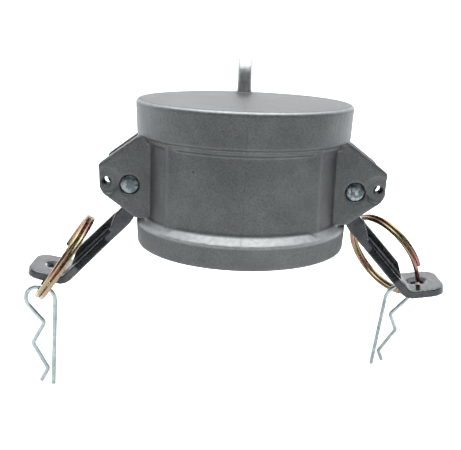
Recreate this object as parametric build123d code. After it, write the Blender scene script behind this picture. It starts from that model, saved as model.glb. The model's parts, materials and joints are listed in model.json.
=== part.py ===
from build123d import *
import os
from math import acos, atan2, cos, pi, radians, sin, sqrt

os.makedirs("parts", exist_ok=True)

# Frame: +Z up, origin on the axis at the mouth plane, ears along X. Millimetres.

# cap casting
HEIGHT = 60.5
FLANGE_R = 45.0
FLANGE_LOW_R = 44.4
FLANGE_Z = 46.0
STEP_R = 42.4
STEP_Z = 43.4
BARREL_R = 41.0
RIM_R = 44.5
RIM_MOUTH_R = 44.0
RIM_Z = 9.85
SHOULDER_Z = 13.2
BORE_R = 38.3
SEAT_R = 39.9
SEAT_Z = 47.3
SEAT_TOP_Z = 53.9

# ears, pins and the slot between each pair of ears
EAR_Y = 17.0
SLOT_Y = 8.75
EAR_OUTLINE = [(36.0, 46.5), (42.9, 46.0), (58.3, 34.5), (58.1, 25.0), (57.0, 22.7),
               (49.2, 17.0), (43.5, 12.8), (36.0, 12.3)]
PIN_X = 45.7
PIN_Z = 26.5
PIN_R = 3.97
PIN_HALF = 16.75
PIN_HOLE_R = 4.0
CLIP_HOLE_X = 55.1
CLIP_HOLE_Z = 27.6
CLIP_HOLE_R = 1.7
RELIEF_R = 5.4
RELIEF_DEPTH = 0.9
WINDOW_Z = (13.6, 41.0)

# chain lug on the closed end
LUG_T = 6.4
LUG_Y = (31.0, 45.0)
LUG_TOP = 76.4
LUG_HOLE_R = 4.0

# gasket
GASKET_IN_R = 30.15
GASKET_OUT_R = 39.7
GASKET_T = 6.35

# cam levers: u runs along the arm from the pin, n points at the cap when the lever is closed
LEVER_HALF_W = 8.45
LEVER_BORE_R = 4.03
HUB_R = 7.6
LOBE_N = 4.6
LOBE_R = 7.4
ARM_BACK_N = -12.4
ARM_T = 3.5
SPINE_N = -5.1
ELBOW_U = 50.2
ELBOW_DEG = 56.0
PADDLE_HALF_W = 12.5
PADDLE_L = 15.5
RING_HOLE_S = 5.5
RING_HOLE_R = 2.8
RING_HOLE_MOUTH_R = 4.6
OPEN_LEFT = 135.0
OPEN_RIGHT = 137.5

# split rings and safety clips
RING_R = 19.6
WIRE_R = 0.95
STRAND_GAP = 0.98
CLIP_ARCH_R = 6.2
CLIP_TOP = 3.1


def circles_at(part, z, r):
    """Round edges of a part at one height and radius."""
    found = part.edges().filter_by(GeomType.CIRCLE)
    return found.filter_by(lambda e: abs(e.center().Z - z) < 0.02 and abs(e.radius - r) < 0.02)


def rod_y(x, z, r, y0, y1):
    """Cylinder along Y from y0 to y1."""
    return Pos(x, (y0 + y1) / 2, z) * Rot(90, 0, 0) * Cylinder(r, y1 - y0)


def slab(points, y0, y1):
    """Outline in X and Z, extruded from y0 to y1."""
    face = make_face(Plane.XZ * Polyline(points, close=True))
    return Pos(0, y1, 0) * extrude(face, y1 - y0, dir=(0, -1, 0))


def cap_shell():
    outer = [(0, 0), (RIM_MOUTH_R, 0), (RIM_R, RIM_Z), (BARREL_R, SHOULDER_Z), (BARREL_R, STEP_Z),
             (STEP_R, STEP_Z + 0.6), (STEP_R, FLANGE_Z), (FLANGE_LOW_R, FLANGE_Z), (FLANGE_R, HEIGHT),
             (0, HEIGHT)]
    solid = revolve(make_face(Plane.XZ * Polyline(outer, close=True)), Axis.Z)
    solid = fillet(circles_at(solid, HEIGHT, FLANGE_R), 1.6)
    solid = fillet(circles_at(solid, FLANGE_Z, FLANGE_LOW_R), 0.8)
    solid = fillet(circles_at(solid, RIM_Z, RIM_R), 0.9)
    return fillet(circles_at(solid, 0, RIM_MOUTH_R), 1.2)


def ear(side, face):
    """One ear plate: side is the X sign, face the Y sign."""
    points = [(side * x, z) for x, z in EAR_OUTLINE]
    y0, y1 = sorted((face * SLOT_Y, face * EAR_Y))
    plate = slab(points, y0, y1)
    rim = plate.faces().sort_by(Axis.Y)[-1 if face > 0 else 0].edges()
    rim = rim.filter_by(lambda e: abs(e.center().X) > 43.0)
    plate = fillet(rim, 0.9)
    y2, y3 = sorted((face * (EAR_Y - RELIEF_DEPTH), face * (EAR_Y + 1)))
    plate -= rod_y(side * CLIP_HOLE_X, CLIP_HOLE_Z, RELIEF_R, y2, y3)
    return plate


def rib(side, face):
    """Raised edge of the panel between the two pairs of ears."""
    inner_x, crest_x, outer_x = 24.4, 28.9, 30.4
    crest_r = 42.8
    points = [(inner_x, sqrt(BARREL_R**2 - inner_x**2)), (crest_x, sqrt(crest_r**2 - crest_x**2)),
              (outer_x, sqrt(crest_r**2 - outer_x**2)), (outer_x, 24.0), (inner_x, 24.0)]
    points = [(side * x, face * y) for x, y in points]
    wall = extrude(make_face(Polyline(points, close=True)), FLANGE_Z + 1 - RIM_Z, dir=(0, 0, 1))
    return Pos(0, 0, RIM_Z) * wall


def chain_lug():
    mid_y = sum(LUG_Y) / 2
    half = (LUG_Y[1] - LUG_Y[0]) / 2
    hub_z = LUG_TOP - half
    plate = Pos(0, mid_y, (HEIGHT + hub_z) / 2 - 1) * Box(LUG_T, 2 * half, hub_z - HEIGHT + 2)
    plate += Pos(0, mid_y, hub_z) * Rot(0, 90, 0) * Cylinder(half, LUG_T)
    sides = plate.faces().filter_by(Axis.X).edges()
    plate = fillet(sides.filter_by(lambda e: e.center().Z > HEIGHT + 0.5), 1.4)
    return plate - Pos(0, mid_y, hub_z) * Rot(0, 90, 0) * Cylinder(LUG_HOLE_R, LUG_T + 4)


def cap_cavity():
    inner = [(0, -1), (BORE_R, -1), (BORE_R, SEAT_Z), (SEAT_R, SEAT_Z),
             (SEAT_R, SEAT_TOP_Z), (0, SEAT_TOP_Z)]
    return revolve(make_face(Plane.XZ * Polyline(inner, close=True)), Axis.Z)


def cap_body():
    solid = cap_shell()
    for side in (-1, 1):
        for face in (-1, 1):
            solid += ear(side, face)
            solid += rib(side, face)
    solid += chain_lug()
    solid -= cap_cavity()
    for side in (-1, 1):
        z0, z1 = WINDOW_Z
        window = Box(14, 2 * SLOT_Y, z1 - z0)
        solid -= Pos(side * 41, 0, (z0 + z1) / 2) * window
        solid -= rod_y(side * PIN_X, PIN_Z, PIN_HOLE_R, -EAR_Y - 1, EAR_Y + 1)
        solid -= rod_y(side * CLIP_HOLE_X, CLIP_HOLE_Z, CLIP_HOLE_R, -EAR_Y - 1, EAR_Y + 1)
        for face in (-1, 1):
            mouth = Pos(side * PIN_X, face * (EAR_Y - 0.1), PIN_Z) * Rot(face * -90, 0, 0)
            solid -= mouth * Cone(PIN_HOLE_R - 0.05, PIN_HOLE_R + 0.4, 0.45)
    return solid


def gasket():
    z0 = SEAT_Z + 0.12
    mid = (GASKET_IN_R + GASKET_OUT_R) / 2
    face = Plane.XZ * Pos(mid, z0 + GASKET_T / 2) * RectangleRounded(
        GASKET_OUT_R - GASKET_IN_R, GASKET_T, 0.7)
    return revolve(face, Axis.Z)


def pivot_pin(side):
    pin = rod_y(side * PIN_X, PIN_Z, PIN_R, -PIN_HALF, PIN_HALF)
    return chamfer(pin.edges().filter_by(GeomType.CIRCLE), 0.45)


def lever_point(u, n):
    """Side-view point of a closed right-hand lever with its pin at the origin."""
    return (-n, u)


def lever_slab(points, half):
    return slab([lever_point(u, n) for u, n in points], -half, half)


def paddle_frame():
    """Start of the paddle's cap-side face, its direction and its normal, in u and n."""
    a = radians(ELBOW_DEG)
    start = (ELBOW_U, ARM_BACK_N + ARM_T)
    return start, (cos(a), sin(a)), (sin(a), -cos(a))


def lever_plate():
    """Arm plate and bent paddle, waisted where it runs between the ears."""
    start, along, back = paddle_frame()
    tip = (start[0] + along[0] * PADDLE_L, start[1] + along[1] * PADDLE_L)
    tip_back = (tip[0] + back[0] * ARM_T, tip[1] + back[1] * ARM_T)
    corner_u = tip_back[0] - (tip_back[1] - ARM_BACK_N) * along[0] / along[1]
    points = [(14.0, ARM_BACK_N), (corner_u, ARM_BACK_N), tip_back, tip, start,
              (14.0, ARM_BACK_N + ARM_T)]
    plate = lever_slab(points, PADDLE_HALF_W)
    outer = plate.edges().filter_by(Axis.Y).sort_by_distance((-ARM_BACK_N, 0, corner_u))[0]
    plate = fillet([outer], 6.0)
    inner = plate.edges().filter_by(Axis.Y).sort_by_distance((-start[1], 0, start[0]))[0]
    plate = fillet([inner], 2.6)
    waist = [(10.0, LEVER_HALF_W), (26.0, LEVER_HALF_W), (43.0, PADDLE_HALF_W), (43.0, 20.0), (10.0, 20.0)]
    for face in (-1, 1):
        outline = make_face(Plane.YZ * Polyline([(face * y, u) for u, y in waist], close=True))
        plate -= Pos(-20, 0, 0) * extrude(outline, 60, dir=(1, 0, 0))
    tip_mid = (-(tip[1] + tip_back[1]) / 2, 0, (tip[0] + tip_back[0]) / 2)
    corners = plate.edges().sort_by_distance(tip_mid)
    corners = [e for e in corners if abs(e.length - ARM_T) < 0.05 and abs(e.center().Y) > 12.0
               and abs(e.center().X - tip_mid[0]) < 0.1 and abs(e.center().Z - tip_mid[2]) < 0.1]
    return fillet(corners, 6.5)


def lever_spine():
    """Raised spine on the cap side of the arm, sloping away before the elbow."""
    low = ARM_BACK_N + ARM_T - 0.5
    points = [(9.0, low), (9.0, SPINE_N), (39.5, SPINE_N), (47.0, low)]
    spine = lever_slab(points, 6.9)
    top = spine.faces().sort_by(Axis.X)[0]
    long_edges = top.edges().filter_by(Axis.Z)
    return chamfer(long_edges, 2.0)


def ring_hole():
    start, along, back = paddle_frame()
    mid = [start[i] + along[i] * RING_HOLE_S + back[i] * ARM_T / 2 for i in (0, 1)]
    x, z = lever_point(mid[0], mid[1])
    nx, nz = lever_point(back[0], back[1])
    place = Plane(origin=(x, 0, z), z_dir=(nx, 0, nz))
    hole = Cylinder(RING_HOLE_R, 12)
    depth = 1.25
    flare = RING_HOLE_MOUTH_R - RING_HOLE_R
    for s in (-1, 1):
        mouth = Cone(RING_HOLE_R, RING_HOLE_MOUTH_R + flare * 0.5, depth * 1.5)
        turn = Rot(0 if s > 0 else 180, 0, 0)
        hole += Pos(0, 0, s * (ARM_T / 2 - depth + depth * 0.75)) * turn * mouth
    return place * hole


def cam_lever():
    """Closed right-hand lever with its pin at the origin."""
    plate = lever_plate()
    root = [(4.2, -6.3), (11.0, -11.8), (14.0, ARM_BACK_N), (22.0, ARM_BACK_N), (22.0, SPINE_N - 3.3),
            (15.0, SPINE_N), (9.8, SPINE_N), (6.6, -3.7), (0.0, 0.0)]
    lever = plate + lever_slab(root, LEVER_HALF_W)
    lever += rod_y(0, 0, HUB_R, -LEVER_HALF_W, LEVER_HALF_W)
    lever += rod_y(-LOBE_N, 0, LOBE_R, -LEVER_HALF_W, LEVER_HALF_W)
    lever += lever_spine()
    lever -= rod_y(0, 0, LEVER_BORE_R, -EAR_Y, EAR_Y)
    return lever - ring_hole()


def place_lever(part, side):
    if side < 0:
        part = mirror(part, Plane.YZ)
    turn = OPEN_RIGHT if side > 0 else -OPEN_LEFT
    return Pos(side * PIN_X, 0, PIN_Z) * Rot(0, turn, 0) * part


def split_ring():
    """Two-turn split ring in the XY plane; only one strand crosses local +X."""
    points = []
    for deg in range(35, 690, 10):
        ramp = min(max((deg - 325) / 70.0, 0.0), 1.0)
        lift = STRAND_GAP * (2 * (3 * ramp**2 - 2 * ramp**3) - 1)
        points.append((RING_R * cos(radians(deg)), RING_R * sin(radians(deg)), lift))
    path = Spline(points)
    section = Plane(origin=path @ 0, z_dir=path % 0) * Circle(WIRE_R)
    return sweep(section, path=path)


def hole_centre(side):
    """Centre of a lever's ring hole in the rest pose."""
    start, along, back = paddle_frame()
    u, n = [start[i] + along[i] * RING_HOLE_S + back[i] * ARM_T / 2 for i in (0, 1)]
    a = radians(OPEN_RIGHT if side > 0 else OPEN_LEFT)
    x = -n * cos(a) + u * sin(a)
    z = n * sin(a) + u * cos(a)
    return Vector(side * (PIN_X + x), 0, PIN_Z + z)


# where each ring lies: radial direction from its centre to the hole, and its normal
RING_RADIAL = {-1: Vector(-0.400, 0.740, -0.540), 1: Vector(0.659, -0.546, -0.516)}
RING_NORMAL = {-1: Vector(-0.831, -0.068, 0.552), 1: Vector(0.751, 0.501, 0.430)}


def ring_plane(side):
    radial = RING_RADIAL[side].normalized()
    normal = RING_NORMAL[side]
    normal = (normal - radial * normal.dot(radial)).normalized()
    centre = hole_centre(side) - radial * RING_R
    return Plane(origin=centre, x_dir=radial, z_dir=normal)


def ring_point(side, direction):
    """Point on a ring's centre line farthest along a direction."""
    plane = ring_plane(side)
    flat = direction - plane.z_dir * direction.dot(plane.z_dir)
    return plane.origin + flat.normalized() * RING_R


def safety_clip():
    """Hairpin in the XZ plane, hung on a wire at the origin; straight leg on +X."""
    cz = CLIP_TOP - CLIP_ARCH_R
    r = CLIP_ARCH_R
    bends = [(1.8, -11.6), (-3.1, -23.0), (3.7, -36.0), (0.9, -43.0)]
    reach = sqrt(bends[0][0]**2 + bends[0][1]**2)
    end = 2 * pi + atan2(bends[0][1], bends[0][0]) - acos(r / reach)
    mid = end / 2
    leg = Line((r, 0, cz - 44.0), (r, 0, cz))
    arch = ThreePointArc((r, 0, cz), (r * cos(mid), 0, cz + r * sin(mid)), (r * cos(end), 0, cz + r * sin(end)))
    wavy = FilletPolyline([arch @ 1] + [(x, 0, cz + z) for x, z in bends], radius=2.0)
    path = Wire([leg, arch] + list(wavy.edges()))
    section = Plane(origin=(r, 0, cz - 44.0), z_dir=(0, 0, 1)) * Circle(WIRE_R)
    return sweep(section, path=path)


# where each clip hangs on its ring, and how it leans along X, tips back along Y and turns about Z
CLIP_SPOT = {-1: Vector(-0.556, -0.014, -0.830), 1: Vector(0.434, 0.115, -0.893)}
CLIP_LEAN = {-1: 5.0, 1: -6.0}
CLIP_TIP = {-1: 12.0, 1: 21.9}
CLIP_TURN = {-1: 0.0, 1: 16.7}


def clip_place(side):
    """Frame of a hanging clip: its origin on the ring's wire, its Y across its plane."""
    spot = ring_point(side, CLIP_SPOT[side])
    return Pos(*spot) * Rot(0, 0, CLIP_TURN[side]) * Rot(CLIP_TIP[side], 0, 0)


def place_clip(part, side):
    if side > 0:
        part = mirror(part, Plane.YZ)
    return clip_place(side) * Rot(0, CLIP_LEAN[side], 0) * part


def build():
    lever = cam_lever()
    ring = split_ring()
    clip = safety_clip()
    nodes = {"cap_body": cap_body(), "gasket": gasket()}
    for side, name in ((-1, "left"), (1, "right")):
        nodes["pivot_pin_" + name] = pivot_pin(side)
        nodes["cam_lever_" + name] = place_lever(lever, side)
        nodes["finger_ring_" + name] = ring_plane(side).location * ring
        nodes["safety_clip_" + name] = place_clip(clip, side)
    return nodes


for node, shape in build().items():
    export_step(shape, "parts/" + node + ".step")
    box = shape.bounding_box()
    print(node, len(shape.solids()), shape.is_valid, round(shape.volume, 1), box.min, box.max)
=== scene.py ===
import json
from math import cos, hypot, pi, radians, sin

import bmesh
import bpy
from mathutils import Matrix, Vector


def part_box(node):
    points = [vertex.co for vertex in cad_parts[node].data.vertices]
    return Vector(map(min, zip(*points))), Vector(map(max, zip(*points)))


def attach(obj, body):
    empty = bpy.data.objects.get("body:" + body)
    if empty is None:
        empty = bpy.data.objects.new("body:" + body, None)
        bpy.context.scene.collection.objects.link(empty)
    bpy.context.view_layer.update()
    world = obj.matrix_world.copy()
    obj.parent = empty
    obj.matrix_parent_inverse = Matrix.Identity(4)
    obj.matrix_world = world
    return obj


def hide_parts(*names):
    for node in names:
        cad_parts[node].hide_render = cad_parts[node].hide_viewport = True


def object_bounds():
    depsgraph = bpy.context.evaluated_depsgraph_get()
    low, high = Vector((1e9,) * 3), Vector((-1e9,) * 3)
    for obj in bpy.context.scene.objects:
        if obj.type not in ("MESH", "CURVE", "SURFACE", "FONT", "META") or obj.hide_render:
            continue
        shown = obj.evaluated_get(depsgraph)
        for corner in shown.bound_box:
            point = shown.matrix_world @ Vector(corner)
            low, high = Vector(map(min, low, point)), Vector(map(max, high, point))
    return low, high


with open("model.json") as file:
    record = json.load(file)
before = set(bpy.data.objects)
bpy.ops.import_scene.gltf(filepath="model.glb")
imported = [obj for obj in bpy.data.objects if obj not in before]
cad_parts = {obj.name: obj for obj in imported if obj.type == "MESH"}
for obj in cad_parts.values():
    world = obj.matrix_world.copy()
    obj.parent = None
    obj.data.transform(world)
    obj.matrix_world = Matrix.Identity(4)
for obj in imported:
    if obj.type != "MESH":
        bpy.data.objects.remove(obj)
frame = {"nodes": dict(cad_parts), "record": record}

CAD_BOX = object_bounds()
MM = 0.001

# the cap and its pins, read from the frame
CAP_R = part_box("cap_body")[1].y
PIN_LOW, PIN_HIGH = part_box("pivot_pin_right")
PIN_R = (PIN_HIGH.z - PIN_LOW.z) / 2
MOUNTS = {m["name"]: m for m in frame["record"]["mounts"]}
BORE_R = MOUNTS["mouth_bore"]["dims"]["r_mm"] * MM
BORE_DEPTH = MOUNTS["mouth_bore"]["dims"]["length_mm"] * MM
FLANGE_TOP = MOUNTS["closed_end"]["pos_m"][2]

# the casting's own dimensions: barrel radius, and height of the ledge above the mouth
BARREL_R = 41.0 * MM
LEDGE_Z = 9.85 * MM
ABOVE_ALL = CAD_BOX[1].z + 10 * MM

# painted highlight bands on the top edge, ledge and lug: lowest z, highest z, inner radius, amount
PAINTED_HIGHLIGHT_BANDS = [(FLANGE_TOP - 1.5 * MM, FLANGE_TOP + 0.2 * MM, CAP_R - 1.3 * MM, 0.22),
              (LEDGE_Z - 1.2 * MM, LEDGE_Z + 2.4 * MM, BARREL_R + 0.3 * MM, 0.27),
              (FLANGE_TOP + 0.6 * MM, ABOVE_ALL, 0.0, 0.50)]


# size of the cells in which corners are melted, and rounds of smoothing after
CAST_VOXEL_MM, CAST_ROUNDS = 0.45, 5
LEVER_VOXEL_MM, LEVER_ROUNDS = 0.32, 7


# ---------------------------------------------------------------- colours and nodes

def linear(hex_code):
    """An sRGB hex colour as linear RGBA."""
    parts = [int(hex_code[i:i + 2], 16) / 255 for i in (1, 3, 5)]
    return [c / 12.92 if c <= 0.04045 else ((c + 0.055) / 1.055) ** 2.4 for c in parts] + [1.0]


def add(tree, kind, inputs=None, **settings):
    """Adds a node, sets its properties, and sets each input or links it to the socket given."""
    made = tree.nodes.new("ShaderNode" + kind)
    for name, value in settings.items():
        setattr(made, name, value)
    for name, value in (inputs or {}).items():
        if isinstance(value, bpy.types.NodeSocket):
            tree.links.new(value, made.inputs[name])
        else:
            made.inputs[name].default_value = value
    return made


def per_mm(size_mm):
    """Texture scale that gives a pattern of this size in millimetres on coordinates in metres."""
    return 1 / (size_mm * MM)


def start_material(name):
    """An empty material: its tree, the object coordinates in metres, and its output."""
    material = bpy.data.materials.new(name)
    material.use_nodes = True
    tree = material.node_tree
    tree.nodes.clear()
    place = add(tree, "TexCoord").outputs["Object"]
    return material, tree, place, add(tree, "OutputMaterial")


def shade(tree, fac, stops):
    """Colour ramp over fac; stops are (position, hex colour)."""
    ramp = add(tree, "ValToRGB", {"Fac": fac})
    points = ramp.color_ramp.elements
    while len(points) < len(stops):
        points.new(0.5)
    for point, (position, colour) in zip(points, stops):
        point.position = position
        point.color = linear(colour)
    return ramp.outputs["Color"]


def spread(tree, fac, low, high, out_low, out_high):
    """Maps fac from low..high to out_low..out_high, held at both ends."""
    made = add(tree, "MapRange", {"Value": fac, "From Min": low, "From Max": high,
                                  "To Min": out_low, "To Max": out_high})
    return made.outputs["Result"]


def grain(tree, place, size_mm, detail=3.0, roughness=0.55):
    """Noise of one grain size, as a value."""
    made = add(tree, "TexNoise", {"Vector": place, "Scale": per_mm(size_mm), "Detail": detail,
                                  "Roughness": roughness})
    return made.outputs["Fac"]


def stretched(tree, place, factors):
    """Coordinates pulled out along an axis, for marks that run one way."""
    return add(tree, "Mapping", {"Vector": place, "Scale": factors}).outputs["Vector"]


def relief(tree, height, depth_mm, strength, below=None):
    """Bump from a height value, on top of another bump if given."""
    inputs = {"Height": height, "Distance": depth_mm * MM, "Strength": strength}
    if below:
        inputs["Normal"] = below
    return add(tree, "Bump", inputs).outputs["Normal"]


# ---------------------------------------------------------------- materials

def blasted_cast_aluminium():
    """Gravity-cast aluminium, shot blasted: matt mid grey with a sandy grain, soft cloudy patches and
    a few open pores painted dark as the shade inside them; painted highlights on the top edge, the
    ledge above the mouth and the lug, where light falls; a faint mould line down the middle. The
    grain is drawn a little coarser than real shot marks."""
    material, tree, place, out = start_material("blasted_cast_aluminium")
    sand = grain(tree, place, 0.7, 4.0, 0.7)
    shot = grain(tree, place, 1.8, 3.0, 0.55)
    cloud = grain(tree, place, 16.0, 4.0, 0.6)
    body = shade(tree, cloud, [(0.28, "#565858"), (0.50, "#5d5f5f"), (0.74, "#656867")])
    speck = shade(tree, sand, [(0.30, "#3e4141"), (0.46, "#bdbdbd"), (0.60, "#ffffff")])
    body = add(tree, "MixRGB", {"Fac": 0.42, "Color1": body, "Color2": speck}, blend_type="MULTIPLY")
    cells = add(tree, "TexVoronoi", {"Vector": place, "Scale": per_mm(9.0)}, feature="F1")
    pore = spread(tree, cells.outputs["Distance"], 0.030, 0.060, 1.0, 0.0)
    chance = spread(tree, cells.outputs["Color"], 0.62, 0.64, 0.0, 1.0)
    pore = add(tree, "Math", {0: pore, 1: chance}, operation="MULTIPLY").outputs["Value"]
    # painted shade: the pores are mixed toward dark grey, standing in for the shade inside the pits
    body = add(tree, "MixRGB", {"Fac": pore, "Color1": body.outputs["Color"], "Color2": linear("#2e3030")})
    parts = add(tree, "SeparateXYZ", {"Vector": place}).outputs
    flat = add(tree, "CombineXYZ", {"X": parts["X"], "Y": parts["Y"]}).outputs["Vector"]
    radius = add(tree, "VectorMath", {0: flat}, operation="LENGTH").outputs["Value"]
    # painted highlight: noise that breaks up the painted highlight bands
    highlight_breakup = spread(tree, shot, 0.35, 0.65, 0.7, 1.0)
    # each band mixes the casting toward near white, a painted highlight where light falls
    for low, high, inner, amount in PAINTED_HIGHLIGHT_BANDS:
        rise = spread(tree, parts["Z"], low, low + 0.9 * MM, 0.0, amount)
        fall = spread(tree, parts["Z"], high, high + 0.9 * MM, 1.0, 0.0)
        reach = spread(tree, radius, inner, inner + 0.5 * MM, 0.0, 1.0)
        mask = highlight_breakup
        for part in (rise, fall, reach):
            mask = add(tree, "Math", {0: mask, 1: part}, operation="MULTIPLY").outputs["Value"]
        body = add(tree, "MixRGB", {"Fac": mask, "Color1": body.outputs["Color"],
                                    "Color2": linear("#eceeed")})
    across = add(tree, "Math", {0: parts["X"]}, operation="ABSOLUTE").outputs["Value"]
    seam = spread(tree, across, 0.15 * MM, 0.60 * MM, 1.0, 0.0)
    dull = spread(tree, sand, 0.3, 0.7, 0.46, 0.62)
    bump = relief(tree, seam, 0.14, 0.8)
    bump = relief(tree, shot, 0.20, 0.45, bump)
    bump = relief(tree, sand, 0.16, 0.75, bump)
    sunk = add(tree, "Math", {0: 1.0, 1: pore}, operation="SUBTRACT").outputs["Value"]
    bump = relief(tree, sunk, 0.30, 0.8, bump)
    skin = add(tree, "BsdfPrincipled", {"Base Color": body.outputs["Color"], "Metallic": 1.0,
                                        "Roughness": dull, "Normal": bump})
    tree.links.new(skin.outputs["BSDF"], out.inputs["Surface"])
    return material


def turned_aluminium():
    """The bore and seat cut on a lathe: brighter metal with fine rings that follow the cut."""
    material, tree, place, out = start_material("turned_aluminium")
    parts = add(tree, "SeparateXYZ", {"Vector": place}).outputs
    flat = add(tree, "CombineXYZ", {"X": parts["X"], "Y": parts["Y"]}).outputs["Vector"]
    radius = add(tree, "VectorMath", {0: flat}, operation="LENGTH").outputs["Value"]
    along = add(tree, "Math", {0: radius, 1: parts["Z"]}, operation="ADD").outputs["Value"]
    line = add(tree, "CombineXYZ", {"X": along}).outputs["Vector"]
    cuts = grain(tree, line, 0.7, 2.0, 0.5)
    smear = grain(tree, place, 9.0, 2.0, 0.5)
    body = shade(tree, smear, [(0.3, "#b0b3b4"), (0.7, "#c6c8c9")])
    dull = spread(tree, cuts, 0.3, 0.7, 0.24, 0.40)
    bump = relief(tree, cuts, 0.08, 0.5)
    skin = add(tree, "BsdfPrincipled", {"Base Color": body, "Metallic": 1.0, "Roughness": dull,
                                        "Normal": bump})
    tree.links.new(skin.outputs["BSDF"], out.inputs["Surface"])
    return material


def nitrile_rubber():
    """Moulded black nitrile: soft dark sheen, faint grey bloom and a fine moulded grain."""
    material, tree, place, out = start_material("nitrile_rubber")
    bloom = grain(tree, place, 8.0, 3.0, 0.6)
    body = shade(tree, bloom, [(0.35, "#17181a"), (0.65, "#222427"), (0.85, "#303336")])
    skin_grain = grain(tree, place, 0.5, 2.0, 0.5)
    bump = relief(tree, skin_grain, 0.05, 0.4)
    dull = spread(tree, bloom, 0.3, 0.8, 0.42, 0.62)
    skin = add(tree, "BsdfPrincipled", {"Base Color": body, "IOR": 1.52, "Roughness": dull,
                                        "Normal": bump})
    tree.links.new(skin.outputs["BSDF"], out.inputs["Surface"])
    return material


def plated_pin_steel():
    """Zinc-plated pin gone dull: grey metal, its cropped ends mottled with small flats and scores."""
    material, tree, place, out = start_material("plated_pin_steel")
    flats = add(tree, "TexVoronoi", {"Vector": place, "Scale": per_mm(1.5)}, feature="F1")
    tone = spread(tree, flats.outputs["Color"], 0.0, 1.0, 0.0, 1.0)
    body = shade(tree, tone, [(0.0, "#3b4144"), (0.45, "#565d60"), (1.0, "#8f9698")])
    scores = grain(tree, stretched(tree, place, (1.0, 1.0, 6.0)), 1.4, 3.0, 0.6)
    bump = relief(tree, scores, 0.15, 0.5)
    bump = relief(tree, tone, 0.12, 0.35, bump)
    dull = spread(tree, scores, 0.3, 0.7, 0.22, 0.40)
    skin = add(tree, "BsdfPrincipled", {"Base Color": body, "Metallic": 1.0, "Roughness": dull,
                                        "Normal": bump})
    tree.links.new(skin.outputs["BSDF"], out.inputs["Surface"])
    return material


def dark_lever_steel():
    """Cast steel lever, dark and polished: near black, with a painted highlight along its edges and fine
    scratches.
    """
    material, tree, place, out = start_material("dark_lever_steel")
    cloud = grain(tree, place, 9.0, 3.0, 0.55)
    body = shade(tree, cloud, [(0.30, "#2f3033"), (0.55, "#3b3c3e"), (0.80, "#4a4b4c")])
    # painted highlight: the sharpest edges are mixed toward light grey
    edge = spread(tree, add(tree, "NewGeometry").outputs["Pointiness"], 0.52, 0.58, 0.0, 0.8)
    body = add(tree, "MixRGB", {"Fac": edge, "Color1": body, "Color2": linear("#a8abac")})
    scratch = grain(tree, stretched(tree, place, (1.0, 9.0, 1.0)), 1.6, 3.0, 0.7)
    dull = spread(tree, scratch, 0.35, 0.75, 0.20, 0.36)
    bump = relief(tree, scratch, 0.03, 0.35)
    bump = relief(tree, cloud, 0.15, 0.25, bump)
    skin = add(tree, "BsdfPrincipled", {"Base Color": body.outputs["Color"], "Metallic": 1.0,
                                        "Roughness": dull, "Normal": bump})
    tree.links.new(skin.outputs["BSDF"], out.inputs["Surface"])
    return material


def yellow_zinc_wire():
    """Steel wire with yellow chromate over zinc: dull gold drifting to olive and rose, still glossy."""
    material, tree, place, out = start_material("yellow_zinc_wire")
    drift = grain(tree, place, 13.0, 2.0, 0.5)
    body = shade(tree, drift, [(0.32, "#67614a"), (0.46, "#84735a"), (0.56, "#8b6a5a"), (0.70, "#7c564f")])
    fleck = grain(tree, place, 1.2, 2.0, 0.5)
    dull = spread(tree, fleck, 0.3, 0.7, 0.18, 0.34)
    bump = relief(tree, fleck, 0.04, 0.3)
    skin = add(tree, "BsdfPrincipled", {"Base Color": body, "Metallic": 1.0, "Roughness": dull,
                                        "Normal": bump})
    tree.links.new(skin.outputs["BSDF"], out.inputs["Surface"])
    return material


def bright_zinc_wire():
    """Drawn steel wire, zinc plated: blue grey with faint drawing lines and dull spots."""
    material, tree, place, out = start_material("bright_zinc_wire")
    spots = grain(tree, place, 3.5, 3.0, 0.6)
    body = shade(tree, spots, [(0.30, "#757e7f"), (0.55, "#8e9797"), (0.80, "#a8b0b0")])
    drawn = grain(tree, stretched(tree, place, (6.0, 6.0, 1.0)), 1.4, 2.0, 0.5)
    dull = spread(tree, spots, 0.3, 0.7, 0.26, 0.42)
    bump = relief(tree, drawn, 0.03, 0.35)
    skin = add(tree, "BsdfPrincipled", {"Base Color": body, "Metallic": 1.0, "Roughness": dull,
                                        "Normal": bump})
    tree.links.new(skin.outputs["BSDF"], out.inputs["Surface"])
    return material


def studio_white():
    """Matt pale paper of the sweep, faintly uneven, with a weak glow that keeps shadows light."""
    material, tree, place, out = start_material("studio_white")
    fibre = grain(tree, place, 3.0, 2.0, 0.5)
    body = shade(tree, fibre, [(0.3, "#f1f1f1"), (0.7, "#f5f5f5")])
    skin = add(tree, "BsdfPrincipled", {"Base Color": body, "Roughness": 0.9, "IOR": 1.45,
                                        "Emission Color": linear("#ffffff"), "Emission Strength": 0.30})
    tree.links.new(skin.outputs["BSDF"], out.inputs["Surface"])
    return material


# ---------------------------------------------------------------- shapes

def link_mesh(name, mesh):
    piece = bpy.data.objects.new(name, mesh)
    bpy.context.scene.collection.objects.link(piece)
    return piece


def applied(piece):
    """The piece's mesh with its modifiers worked in, and the modifiers gone."""
    bpy.context.view_layer.update()
    seen = piece.evaluated_get(bpy.context.evaluated_depsgraph_get())
    mesh = bpy.data.meshes.new_from_object(seen)
    piece.modifiers.clear()
    piece.data = mesh
    return piece


def softened(name, node, voxel_mm, rounds):
    """A copy of a CAD node with every sharp corner melted into the small radii that a casting has."""
    piece = link_mesh(name, frame["nodes"][node].data.copy())
    weld = piece.modifiers.new("weld", "WELD")
    weld.merge_threshold = 0.002 * MM
    voxels = piece.modifiers.new("voxels", "REMESH")
    voxels.mode = "VOXEL"
    voxels.voxel_size = voxel_mm * MM
    voxels.use_smooth_shade = True
    melt = piece.modifiers.new("melt", "SMOOTH")
    melt.factor = 0.5
    melt.iterations = rounds
    applied(piece)
    piece.data.materials.clear()
    return piece


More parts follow.
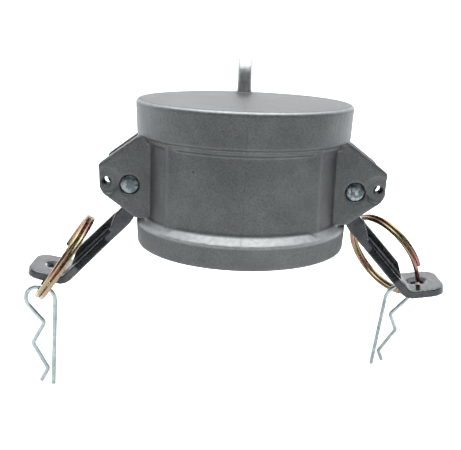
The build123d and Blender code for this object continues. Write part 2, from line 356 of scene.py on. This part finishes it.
def lathe(name, profile, axis_x, axis_z, steps):
    """A solid of revolution about a line along Y; profile is (radius, y) from one pole to the other."""
    mesh = bpy.data.meshes.new(name)
    form = bmesh.new()
    rings = []
    for radius, y in profile:
        if radius == 0:
            rings.append([form.verts.new((axis_x, y, axis_z))])
            continue
        turn = [2 * pi * i / steps for i in range(steps)]
        rings.append([form.verts.new((axis_x + radius * cos(a), y, axis_z + radius * sin(a))) for a in turn])
    for low, high in zip(rings, rings[1:]):
        for i in range(steps):
            j = (i + 1) % steps
            corners = [low[i % len(low)], low[j % len(low)], high[j % len(high)], high[i % len(high)]]
            form.faces.new(list(dict.fromkeys(corners)))
    bmesh.ops.recalc_face_normals(form, faces=form.faces)
    for face in form.faces:
        face.smooth = True
    form.to_mesh(mesh)
    form.free()
    return link_mesh(name, mesh)


# ---------------------------------------------------------------- the cap

def cap_casting(cast, turned):
    piece = softened("cap_casting", "cap_body", CAST_VOXEL_MM, CAST_ROUNDS)
    piece.data.materials.append(cast)
    piece.data.materials.append(turned)
    for face in piece.data.polygons:
        c = face.center
        inside = hypot(c.x, c.y) < BORE_R + 0.2 * MM and c.z < BORE_DEPTH
        if inside:
            face.material_index = 1
    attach(piece, "cap")
    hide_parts("cap_body")
    return piece


def pivot_pin(side, steel):
    """Pin with a chamfer at each end and a slightly crowned, cropped face."""
    low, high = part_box("pivot_pin_" + side)
    centre = (low + high) / 2
    face_r = PIN_R - 0.55 * MM
    end = [(0, high.y), (face_r * 0.6, high.y - 0.04 * MM), (face_r, high.y - 0.16 * MM),
           (PIN_R - 0.1 * MM, high.y - 0.62 * MM), (PIN_R, high.y - 0.85 * MM)]
    profile = end + [(radius, -y) for radius, y in reversed(end)]
    piece = lathe("pivot_pin_" + side + "_steel", profile, centre.x, centre.z, 64)
    piece.data.materials.append(steel)
    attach(piece, "cap")
    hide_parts("pivot_pin_" + side)
    return piece


def cam_lever(side, steel):
    """Lever with its cast edges rounded over, so that they catch a thin line of light."""
    node = "cam_lever_" + side
    piece = softened(node + "_steel", node, LEVER_VOXEL_MM, LEVER_ROUNDS)
    piece.data.materials.append(steel)
    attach(piece, "lever_" + side)
    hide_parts(node)
    return piece


def finish_node(node, material):
    """A CAD node that keeps its shape and takes its real finish."""
    piece = frame["nodes"][node]
    piece.data.materials.clear()
    piece.data.materials.append(material)
    return piece


# ---------------------------------------------------------------- studio

def sweep(material):
    """Pale floor that curves up into the wall behind, just under the lowest clip."""
    floor_z = CAD_BOX[0].z - 0.4 * MM
    front, back, bend, top, half = -2.4, 1.3, 0.5, 2.2, 3.0
    line = [(front, floor_z), (back, floor_z)]
    for i in range(1, 13):
        a = radians(90 * i / 12)
        line.append((back + bend * sin(a), floor_z + bend * (1 - cos(a))))
    line.append((back + bend, top))
    verts = [(x, y, z) for x in (-half, half) for y, z in line]
    n = len(line)
    faces = [(i, i + 1, n + i + 1, n + i) for i in range(n - 1)]
    mesh = bpy.data.meshes.new("studio_sweep")
    mesh.from_pydata(verts, [], faces)
    for face in mesh.polygons:
        face.use_smooth = True
    mesh.materials.append(material)
    link_mesh("studio_sweep", mesh)


def soft_light(name, place, aim, width, height, power, colour):
    lamp = bpy.data.lights.new(name, "AREA")
    lamp.shape = "RECTANGLE"
    lamp.size = width
    lamp.size_y = height
    lamp.energy = power
    lamp.color = linear(colour)[:3]
    light = bpy.data.objects.new(name, lamp)
    light.location = place
    light.rotation_euler = (Vector(aim) - Vector(place)).to_track_quat("-Z", "Y").to_euler()
    bpy.context.scene.collection.objects.link(light)


def lighting():
    middle = (0, 0, 0.02)
    soft_light("overhead_box", (0, 0.12, 1.05), middle, 2.0, 1.2, 29.0, "#f8fcff")
    soft_light("front_top_box", (0, -0.42, 1.1), middle, 1.4, 0.5, 13.0, "#ffffff")
    soft_light("left_box", (-1.0, 0.45, 0.35), middle, 0.7, 0.9, 5.0, "#f4f9ff")
    soft_light("right_box", (1.0, 0.45, 0.35), middle, 0.7, 0.9, 5.0, "#f4f9ff")
    soft_light("backdrop_wash", (0, 0.6, 0.9), (0, 1.8, 0.25), 2.4, 0.8, 34.0, "#ffffff")
    world = bpy.data.worlds.new("studio_air")
    world.use_nodes = True
    world.node_tree.nodes["Background"].inputs["Color"].default_value = linear("#e8ecee")
    world.node_tree.nodes["Background"].inputs["Strength"].default_value = 0.10
    bpy.context.scene.world = world
    bpy.context.scene.view_settings.view_transform = "Standard"


def camera():
    """Level with the cap's top edge and looking a little down on it, from just left of the front."""
    place = Vector((-5.8, -315.1, 89.9)) * MM
    yaw, pitch, roll = 0.005, 0.258, 0.036
    ahead = Vector((sin(yaw) * cos(pitch), cos(yaw) * cos(pitch), -sin(pitch)))
    right = Vector((cos(yaw), -sin(yaw), 0))
    up = right.cross(ahead)
    across = right * cos(roll) + up * sin(roll)
    upward = up * cos(roll) - right * sin(roll)
    lens = bpy.data.cameras.new("camera")
    lens.sensor_width = 36.0
    lens.lens = 58.87
    lens.clip_start = 0.01
    eye = bpy.data.objects.new("camera", lens)
    turn = Matrix((across, upward, -ahead)).transposed().to_4x4()
    eye.matrix_world = Matrix.Translation(place) @ turn
    bpy.context.scene.collection.objects.link(eye)
    bpy.context.scene.camera = eye


# ---------------------------------------------------------------- build

cast = blasted_cast_aluminium()
turned = turned_aluminium()
pin_steel = plated_pin_steel()
lever_steel = dark_lever_steel()
yellow_zinc = yellow_zinc_wire()
zinc_wire = bright_zinc_wire()

cap_casting(cast, turned)
finish_node("gasket", nitrile_rubber())
for side in ("left", "right"):
    pivot_pin(side, pin_steel)
    cam_lever(side, lever_steel)
    finish_node("finger_ring_" + side, yellow_zinc)
    finish_node("safety_clip_" + side, zinc_wire)

sweep(studio_white())
lighting()
camera()
